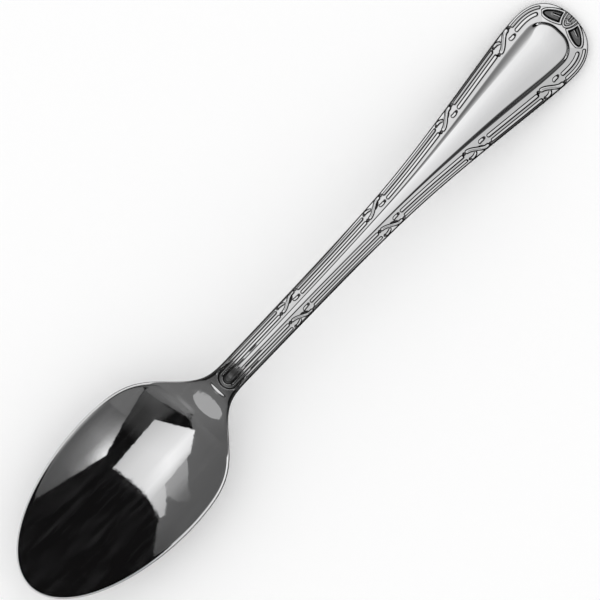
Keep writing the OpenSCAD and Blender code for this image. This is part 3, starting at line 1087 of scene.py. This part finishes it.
def steel_material():
    """Polished stainless steel, with the waves, fine scratches and faint smudges that use leaves, and
    painted shade mixed into its colour.
    """
    material = bpy.data.materials.new("polished_steel")
    material.use_nodes = True
    nodes = Nodes(material.node_tree)
    shader = nodes.add("ShaderNodeBsdfPrincipled")
    out = nodes.add("ShaderNodeOutputMaterial")
    nodes.link(shader.outputs["BSDF"], out.inputs["Surface"])

    # Painted shade and painted dark reflections: the points' numbers mix the steel's colour towards the
    # dark colour
    painted_darkness = nodes.add("ShaderNodeAttribute", attribute_name="painted_shade")
    tint = nodes.add("ShaderNodeMix", data_type="RGBA")
    tint.inputs["A"].default_value = POLISHED
    tint.inputs["B"].default_value = PAINTED_SHADE_COLOUR
    nodes.link(painted_darkness.outputs["Fac"], tint.inputs["Factor"])
    nodes.link(tint.outputs["Result"], shader.inputs["Base Color"])

    smudges = stretched_noise(nodes, SMUDGE_SCALE, 5)
    scratches = stretched_noise(nodes, SCRATCH_SCALE, 3)
    haze = nodes.add("ShaderNodeMath", operation="MULTIPLY")
    nodes.link(ranged(nodes, smudges, SMUDGE_RANGE, SMUDGE_SHARE), haze.inputs[0])
    nodes.link(ranged(nodes, scratches, SCRATCH_RANGE, SCRATCH_ROUGHNESS), haze.inputs[1])
    nodes.link(haze.outputs["Value"], shader.inputs["Roughness"])

    marks = stretched_noise(nodes, MARK_SCALE, 5)
    nodes.link(ranged(nodes, marks, MARK_RANGE, MARK_METALLIC), shader.inputs["Metallic"])

    waves = bumped(nodes, stretched_noise(nodes, WAVE_SCALE, 4), WAVE_H)
    nodes.link(bumped(nodes, scratches, SCRATCH_H, waves), shader.inputs["Normal"])
    return material


def glow_material(name, back_level):
    """Light as the mesh's own level attribute says, and on the back a plain level where one is given."""
    material = bpy.data.materials.new(name)
    material.use_nodes = True
    nodes = Nodes(material.node_tree)
    level = nodes.add("ShaderNodeAttribute", attribute_name="level")
    glow = nodes.add("ShaderNodeEmission")
    nodes.link(level.outputs["Fac"], glow.inputs["Strength"])
    out = nodes.add("ShaderNodeOutputMaterial")
    if back_level is None:
        nodes.link(glow.outputs["Emission"], out.inputs["Surface"])
        return material
    back = nodes.add("ShaderNodeEmission")
    back.inputs["Strength"].default_value = back_level
    side = nodes.add("ShaderNodeNewGeometry")
    blend = nodes.add("ShaderNodeMixShader")
    nodes.link(side.outputs["Backfacing"], blend.inputs["Fac"])
    nodes.link(glow.outputs["Emission"], blend.inputs[1])
    nodes.link(back.outputs["Emission"], blend.inputs[2])
    nodes.link(blend.outputs["Shader"], out.inputs["Surface"])
    return material


def reflected_only(obj):
    """A card that the metal reflects, and that neither lights the floor nor shades it."""
    obj.visible_camera = False
    obj.visible_diffuse = False
    obj.visible_transmission = False
    obj.visible_volume_scatter = False
    obj.visible_shadow = False


def card(name, points, levels, back_level=None):
    """A sheet through a grid of points, rows by columns, with a light level at each."""
    rows, columns = levels.shape
    faces = [
        [i*columns + j, i*columns + j + 1, (i + 1)*columns + j + 1, (i + 1)*columns + j]
        for i in range(rows - 1) for j in range(columns - 1)
    ]
    mesh = bpy.data.meshes.new(name)
    mesh.from_pydata((points.reshape(-1, 3)*MM).tolist(), [], faces)
    add_values(mesh, "level", levels.ravel())
    reflected_only(add_object(name, mesh, glow_material(name, back_level)))


# The stage. The camera looks down from CAMERA_AT, and cards stand where it sees them mirrored
CAMERA_AT = (-0.1, 0.43, 1500)
CAMERA_TURN = math.radians(-46.4)
CAMERA_LENS = 505.4
SENSOR_W = 36
CAMERA_REACH = 100000
FLOOR_HALF = 3000
FLOOR_COLOUR = (0.99, 0.99, 0.99, 1)
WHITE = (1, 1, 1, 1)
ROOM_R = 9000
ROOM_LEANS = [0, 30, 60, 91]
ROOM_TURNS = 25
BLACK = 0.006
MIRROR_STEP = 0.02
PATCH_STEPS = 8


def finer(grid, steps):
    """A grid of values with steps places in each of its cells, both ways."""
    grid = np.asarray(grid, float)
    for axis in (0, 1):
        grid = np.moveaxis(grid, axis, 0)
        at = np.arange((len(grid) - 1)*steps + 1)/steps
        i = np.minimum(at.astype(int), len(grid) - 2)
        f = (at - i).reshape([-1] + [1]*(grid.ndim - 1))
        grid = np.moveaxis(mix(grid[i], grid[i + 1], f), 0, axis)
    return grid


def plain_top(x, y):
    return plain_z(x, y, np.clip(np.abs(y)/half_w(x), 0, 1), RIM_LAND)


def mirrored(x, y):
    """The plain top's points at x, y, and the directions that the camera sees mirrored there."""
    x_slope = (plain_top(x + MIRROR_STEP, y) - plain_top(x - MIRROR_STEP, y))/(2*MIRROR_STEP)
    y_slope = (plain_top(x, y + MIRROR_STEP) - plain_top(x, y - MIRROR_STEP))/(2*MIRROR_STEP)
    normal = np.stack([-x_slope, -y_slope, np.ones_like(x)], axis=-1)
    normal /= np.linalg.norm(normal, axis=-1, keepdims=True)
    start = np.stack([x, y, plain_top(x, y)], axis=-1)
    look = start - np.array(CAMERA_AT)
    look /= np.linalg.norm(look, axis=-1, keepdims=True)
    ahead = look - 2*normal*np.sum(look*normal, axis=-1, keepdims=True)
    return start, ahead


def far_patch(name, rows, reach, to_floor=False):
    """A far patch of light. Its corners are given as (x, y, level), by the places that mirror them."""
    grid = finer(rows, PATCH_STEPS)
    start, ahead = mirrored(grid[..., 0], grid[..., 1])
    level = grid[..., 2]
    if to_floor:
        low = ahead[:, -1:]*np.array([1, 1, 0])
        low = low/np.linalg.norm(low, axis=-1, keepdims=True)
        start = np.concatenate([start, start[:, -1:]], axis=1)
        ahead = np.concatenate([ahead, low], axis=1)
        level = np.concatenate([level, level[:, -1:]], axis=1)
    card(name, start + ahead*reach, level)


def make_floor():
    mesh = bpy.data.meshes.new("floor")
    sheet = [(-1, -1), (1, -1), (1, 1), (-1, 1)]
    mesh.from_pydata([(x*FLOOR_HALF*MM, y*FLOOR_HALF*MM, 0) for x, y in sheet], [], [range(4)])
    material = bpy.data.materials.new("pale_floor")
    material.use_nodes = True
    shader = material.node_tree.nodes["Principled BSDF"]
    shader.inputs["Base Color"].default_value = FLOOR_COLOUR
    shader.inputs["Roughness"].default_value = 1
    add_object("floor", mesh, material)


def make_world():
    world = bpy.data.worlds.new("studio")
    world.use_nodes = True
    background = world.node_tree.nodes["Background"]
    background.inputs["Color"].default_value = WHITE
    background.inputs["Strength"].default_value = 1
    bpy.context.scene.world = world


def make_room():
    """A dark room around the spoon, up from the floor."""
    turn = np.linspace(0, 4*QUARTER, ROOM_TURNS)
    turns, leans = np.meshgrid(turn, np.radians(ROOM_LEANS), indexing="ij")
    sky = np.stack([np.sin(leans)*np.cos(turns), np.sin(leans)*np.sin(turns), np.cos(leans)], axis=-1)
    card("dark_room", ROOM_R*sky, np.full_like(turns, BLACK))


def make_bowl_lights():
    """What the bowl mirrors: a tall soft box with a strip below it, grey walls and a bright corner."""
    far_patch("grey_wall", [
        [(-50.7, -11.8, 0.09), (-50.5, -11.85, 0.085), (-50.3, -11.9, 0.08)],
        [(-45.4, -8.1, 0.14), (-44.5, -10.4, 0.11), (-43.8, -12.4, 0.11)],
        [(-42.5, -6.3, 0.15), (-40, -9.4, 0.12), (-38, -12.1, 0.115)],
        [(-37, -4.2, 0.15), (-34, -7.6, 0.13), (-32, -10.6, 0.115)],
        [(-33, -3.6, 0.15), (-30.6, -5.6, 0.13), (-29.3, -8.2, 0.12)],
        [(-30, -1.9, 0.15), (-28.9, -2.7, 0.15), (-28, -3.5, 0.16)],
        [(-28.8, 0, 0.14), (-28.4, 0, 0.16), (-27.9, 0, 0.18)],
        [(-29.2, 2, 0.14), (-28.6, 2, 0.18), (-27.9, 2, 0.22)],
        [(-30, 5, 0.12), (-29, 5, 0.16), (-28, 5, 0.2)],
        [(-30.8, 7.4, 0.11), (-29.6, 7.6, 0.15), (-28.6, 7.6, 0.16)],
        [(-31.2, 9.3, 0.13), (-30.4, 9.3, 0.13), (-29.8, 9.2, 0.13)],
    ], 5000, to_floor=True)
    far_patch("bright_corner", [
        [(-58.4, 10.1, 0.07), (-58.2, 10.15, 0.08), (-58, 10.2, 0.09)],
        [(-51.2, 8.3, 0.12), (-50.8, 10, 0.12), (-50.4, 11.8, 0.11)],
        [(-47.3, 7.27, 0.36), (-47.2, 9.2, 0.2), (-47, 12.1, 0.12)],
        [(-44, 6.4, 1.1), (-44, 9, 0.28), (-44, 12.3, 0.12)],
        [(-42, 6.9, 0.8), (-42, 9, 0.32), (-42, 12.4, 0.12)],
        [(-40, 7.4, 0.44), (-40, 9, 0.26), (-40, 12.3, 0.12)],
        [(-36.4, 8.3, 0.13), (-36.5, 9.4, 0.13), (-36.7, 11.9, 0.12)],
        [(-36.2, 8.35, 0.15), (-36.3, 9.4, 0.165), (-36.5, 11.9, 0.165)],
        [(-30.6, 9.5, 0.14), (-30.5, 9.65, 0.16), (-30.4, 9.8, 0.17)],
    ], 3500, to_floor=True)
    far_patch("grey_gap", [
        [(-38.4, 7.9, 0.006), (-36, 8.4, 0.04), (-33.5, 8.9, 0.045), (-30.5, 9.4, 0.08)],
        [(-38.6, 6, 0.006), (-36.2, 6.2, 0.035), (-33.2, 6.5, 0.045), (-30.4, 6.8, 0.09)],
        [(-39, 4.2, 0.006), (-36.4, 4.3, 0.04), (-33.3, 4.4, 0.06), (-30, 4, 0.06)],
        [(-33.2, 3.4, 0.006), (-32.7, 3.4, 0.01), (-31.6, 3, 0.012), (-29.6, 2.6, 0.02)],
    ], 2500)
    far_patch("pale_patch", [
        [(-41.2, -4.6, 0.43), (-34.3, -4.4, 0.4)],
        [(-41.7, -6.4, 0.36), (-35.8, -6.2, 0.36)],
        [(-41.2, -8.2, 0.2), (-38, -8.2, 0.19)],
        [(-39.6, -10, 0.125), (-38.8, -10, 0.125)],
    ], 1800)
    far_patch("strip_box", [
        [(-44.3, -4, 0.72), (-40.2, -4, 0.72)],
        [(-44.5, -5.6, 0.68), (-40.8, -5.4, 0.66)],
        [(-44.9, -6.9, 0.62), (-42.2, -6.9, 0.6)],
        [(-45.4, -8.1, 0.56), (-44.4, -8.6, 0.52)],
    ], 1300)
    far_patch("bowl_box", [
        [(-44.6, 3.9, 0.64), (-39, 4.2, 0.66), (-33.3, 4.5, 0.62)],
        [(-44.3, 1.5, 0.8), (-38, 1.5, 0.86), (-31.7, 1.5, 0.78)],
        [(-44.1, -1.2, 0.86), (-37, -1, 0.97), (-30.3, -0.9, 0.92)],
        [(-44.1, -2.2, 0.88), (-36.5, -2, 1.15), (-29.8, -2, 1.05)],
        [(-44.2, -3.3, 0.96), (-37.5, -3.2, 1.1), (-31.9, -3.4, 0.95)],
        [(-44.3, -4.9, 0.72), (-39.5, -4.75, 0.72), (-33.4, -4.3, 0.6)],
    ], 900)


# A grey flag between the neck and the bowl's box: its level by the place x that mirrors it, a brighter
# streak at one place, a curved lower edge, and a pale oval before it
FLAG_X = -31
FLAG_SEEN_X = np.arange(-27.9, -16.7, 0.1)
FLAG_Y = np.arange(-8, 8.01, 0.5)
FLAG_LEVELS = [(-27.9, 0.17), (-27, 0.17), (-24, 0.16), (-22, 0.15), (-20, 0.1), (-18, 0.07)]
FLAG_SIDE_LEVEL = 0.72
FLAG_SIDE_Y = 4
FLAG_CURVE = 0.05
FLAG_CURVE_Z = 6
FLAG_CURVE_FADE = 8
STREAK_LEVEL = 0.11
STREAK_X = -27.5
STREAK_W = 0.4
STREAK_RISE = 0.8
STREAK_STOP_Y = 3.6
STREAK_FALL = 2
OVAL_AT = (-24.9, -0.6)
OVAL_HALF = (1.5, 3.2)
OVAL_LEVEL = 0.45
OVAL_BEFORE = 0.1
OVAL_TURNS = 49


def make_neck_flag():
    start, ahead = mirrored(FLAG_SEEN_X, 0*FLAG_SEEN_X)
    seen_z = start[:, 2] + ahead[:, 2]*(FLAG_X - FLAG_SEEN_X)/ahead[:, 0]
    z, y = np.meshgrid(np.maximum.accumulate(seen_z), FLAG_Y, indexing="ij")
    z = z + FLAG_CURVE*y*y*(1 - smooth((z - FLAG_CURVE_Z)/FLAG_CURVE_FADE))
    x = FLAG_SEEN_X[:, None] + 0*y
    level = np.interp(x, *zip(*FLAG_LEVELS))
    streak = STREAK_LEVEL*np.exp(-((x - STREAK_X)/STREAK_W)**2)
    level += streak*smooth(y/STREAK_RISE)*smooth((STREAK_STOP_Y - y)/STREAK_FALL)
    level *= mix(1, FLAG_SIDE_LEVEL, smooth(-y/FLAG_SIDE_Y))
    card("neck_flag", np.stack([np.full_like(x, FLAG_X), y, z], axis=-1), level, BLACK)


def make_pale_oval():
    size, turn = np.meshgrid([0, 0.5, 1], np.linspace(0, 4*QUARTER, OVAL_TURNS), indexing="ij")
    x = OVAL_AT[0] + OVAL_HALF[0]*size*np.cos(turn)
    y = OVAL_AT[1] + OVAL_HALF[1]*size*np.sin(turn)
    start, ahead = mirrored(x, y)
    points = start + ahead*((FLAG_X + OVAL_BEFORE - x)/ahead[..., 0])[..., None]
    card("pale_oval", points, np.full_like(size, OVAL_LEVEL))


# The box over the handle. It leans so that the bowl sees only its back. Its levels are given along it by
# the place x that mirrors them, with two lengths more past the last, and across it by the angle
BOX_SLOPE = 0.73
BOX_FOOT_X = -56
BOX_ALONG = [
    (-16.6, 0.3), (-15.6, 0.75), (-14, 0.92), (-8, 0.94), (0, 0.94), (8, 0.96),
    (16, 1), (30, 1.02), (38, 0.98)
]
BOX_MORE = [(60, 0.9), (400, 0.5)]
BOX_ACROSS = [
    (-86, 0.03), (-70, 0.05), (-56, 0.08), (-42, 0.14), (-32, 0.5), (-24, 0.78), (-12, 0.8), (0, 0.94),
    (10, 1.12), (20, 1.18), (30, 1), (40, 0.6), (50, 0.5), (60, 0.4), (70, 0.14), (86, 0.03)
]
HANDLE_Z = 8


def make_handle_box():
    seen_x, along = (np.array(column, float) for column in zip(*BOX_ALONG))
    lean, across = (np.array(column, float) for column in zip(*BOX_ACROSS))
    start, ahead = mirrored(seen_x, 0*seen_x)
    reach = (BOX_SLOPE*(start[:, 0] - BOX_FOOT_X) - start[:, 2])/(ahead[:, 2] - BOX_SLOPE*ahead[:, 0])
    hit = start + ahead*reach[:, None]
    uphill = np.array([1, 0, BOX_SLOPE])
    hit = np.vstack([hit] + [hit[-1] + more*uphill for more, _ in BOX_MORE])
    along = np.append(along, [level for _, level in BOX_MORE])
    y = (hit[:, 2] - HANDLE_Z)[:, None]*np.tan(np.radians(lean))[None, :]
    points = np.stack([hit[:, :1] + 0*y, y, hit[:, 2:] + 0*y], axis=-1)
    card("handle_box", points, along[:, None]*across[None, :], BLACK)


# A black sheet low at -Y, so that the edges there end in a dark line
LOW_FLAG_X = np.arange(-76, 76.1, 2)
LOW_FLAG_OUT = [1, 300]
LOW_FLAG_Z = 0.2


def make_low_flag():
    x, out = np.meshgrid(LOW_FLAG_X, LOW_FLAG_OUT, indexing="ij")
    y = -half_w(np.clip(x, 1 - HALF_LEN, tip_x)) - out
    card("low_flag", np.stack([x, y, 0*x + LOW_FLAG_Z], axis=-1), np.full_like(x, BLACK))


def make_camera():
    camera = bpy.data.objects.new("camera", bpy.data.cameras.new("camera"))
    bpy.context.scene.collection.objects.link(camera)
    camera.location = [c*MM for c in CAMERA_AT]
    camera.rotation_euler = (0, 0, CAMERA_TURN)
    camera.data.lens = CAMERA_LENS
    camera.data.sensor_width = SENSOR_W
    camera.data.clip_end = CAMERA_REACH*MM
    bpy.context.scene.camera = camera


bpy.context.scene.view_settings.view_transform = "Standard"
make_spoon(steel_material())
make_floor()
make_world()
make_room()
make_bowl_lights()
make_neck_flag()
make_pale_oval()
make_handle_box()
make_low_flag()
make_camera()
